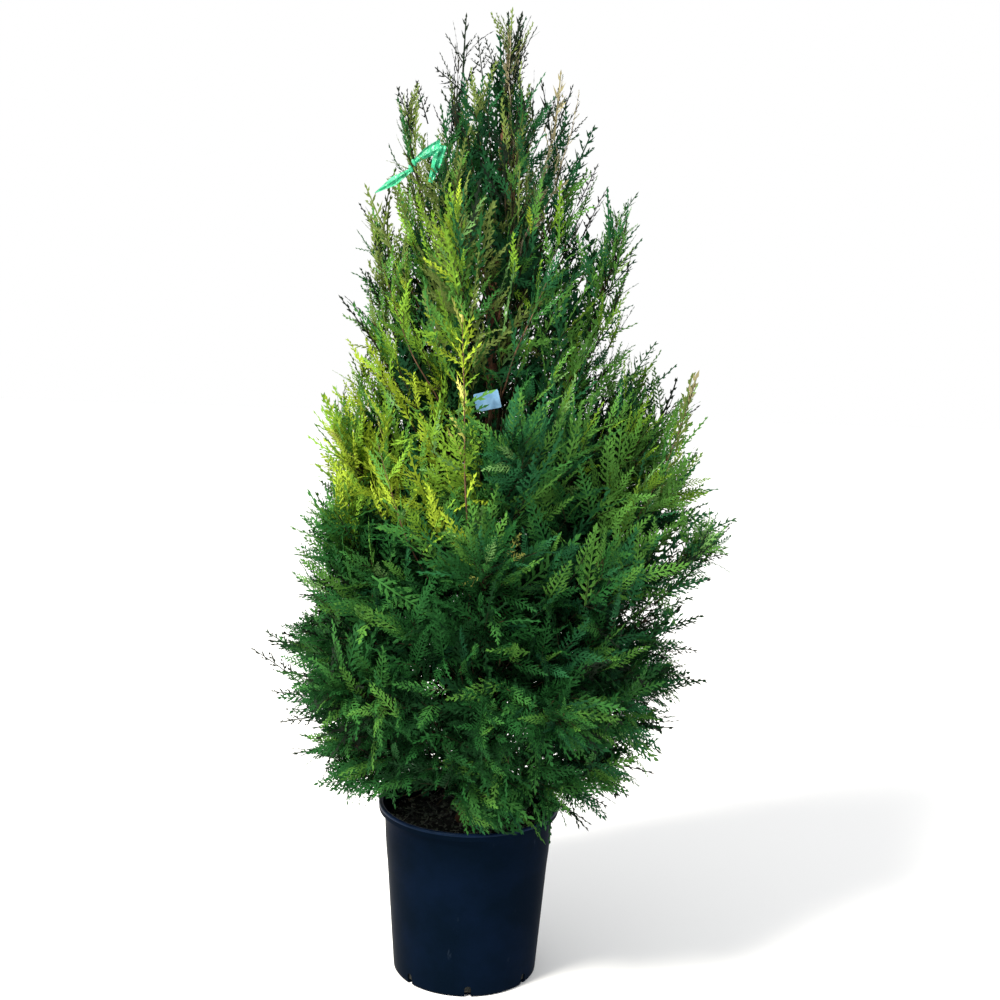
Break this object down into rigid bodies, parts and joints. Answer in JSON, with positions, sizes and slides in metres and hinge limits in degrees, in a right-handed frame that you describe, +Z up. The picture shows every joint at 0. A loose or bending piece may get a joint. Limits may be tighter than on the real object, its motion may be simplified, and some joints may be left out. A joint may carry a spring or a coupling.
{
  "type": "potted thuja",
  "caption": "Upright evergreen conifer with tiers of fern-like scale foliage on upswept boughs, in a round dark blue nursery pot of compost.",
  "frame": {"origin": "middle of the pot's flat underside", "axes": "+Z up along the pot's axis; -Y is the front, and the crown's tallest tip leans towards +X"},
  "size_m": [0.8308, 0.8047, 1.734],
  "materials": {
    "pot": "moulded plastic, semi-matt, lightly scuffed",
    "compost": "damp crumbly compost with fine roots and dry needles",
    "bark": "thin reddish-brown bark in fine lengthwise shreds",
    "foliage": "scale leaves in flat sprays, satin",
    "label": "thin pale plastic card, blank",
    "tape": "thin glossy plastic tape"
  },
  "bodies": {
    "root": {"bough_crest_1": "bark", "bough_crest_2": "bark", "bough_crest_3": "bark", "bough_crest_4": "bark", "bough_flank_1": "bark", "bough_flank_2": "bark", "bough_flank_3": "bark", "bough_flank_4": "bark", "bough_low_1": "bark", "bough_low_2": "bark", "bough_low_3": "bark", "bough_low_4": "bark", "bough_low_5": "bark", "bough_shoulder_1": "bark", "bough_shoulder_2": "bark", "bough_shoulder_3": "bark", "bough_shoulder_4": "bark", "bough_shoulder_5": "bark", "bough_skirt_1": "bark", "bough_skirt_2": "bark", "bough_skirt_3": "bark", "bough_skirt_4": "bark", "bough_spire_1": "bark", "bough_upper_1": "bark", "bough_upper_2": "bark", "bough_upper_3": "bark", "bough_upper_4": "bark", "compost": "compost", "label": "label", "mass_crest_1": "foliage", "mass_crest_2": "foliage", "mass_crest_3": "foliage", "mass_crest_4": "foliage", "mass_flank_1": "foliage", "mass_flank_2": "foliage", "mass_flank_3": "foliage", "mass_flank_4": "foliage", "mass_leader": "foliage", "mass_low_1": "foliage", "mass_low_2": "foliage", "mass_low_3": "foliage", "mass_low_4": "foliage", "mass_low_5": "foliage", "mass_shoulder_1": "foliage", "mass_shoulder_2": "foliage", "mass_shoulder_3": "foliage", "mass_shoulder_4": "foliage", "mass_shoulder_5": "foliage", "mass_skirt_1": "foliage", "mass_skirt_2": "foliage", "mass_skirt_3": "foliage", "mass_skirt_4": "foliage", "mass_spire_1": "foliage", "mass_upper_1": "foliage", "mass_upper_2": "foliage", "mass_upper_3": "foliage", "mass_upper_4": "foliage", "pot": "pot", "tape": "tape", "trunk": "bark"}
  },
  "joints": []
}
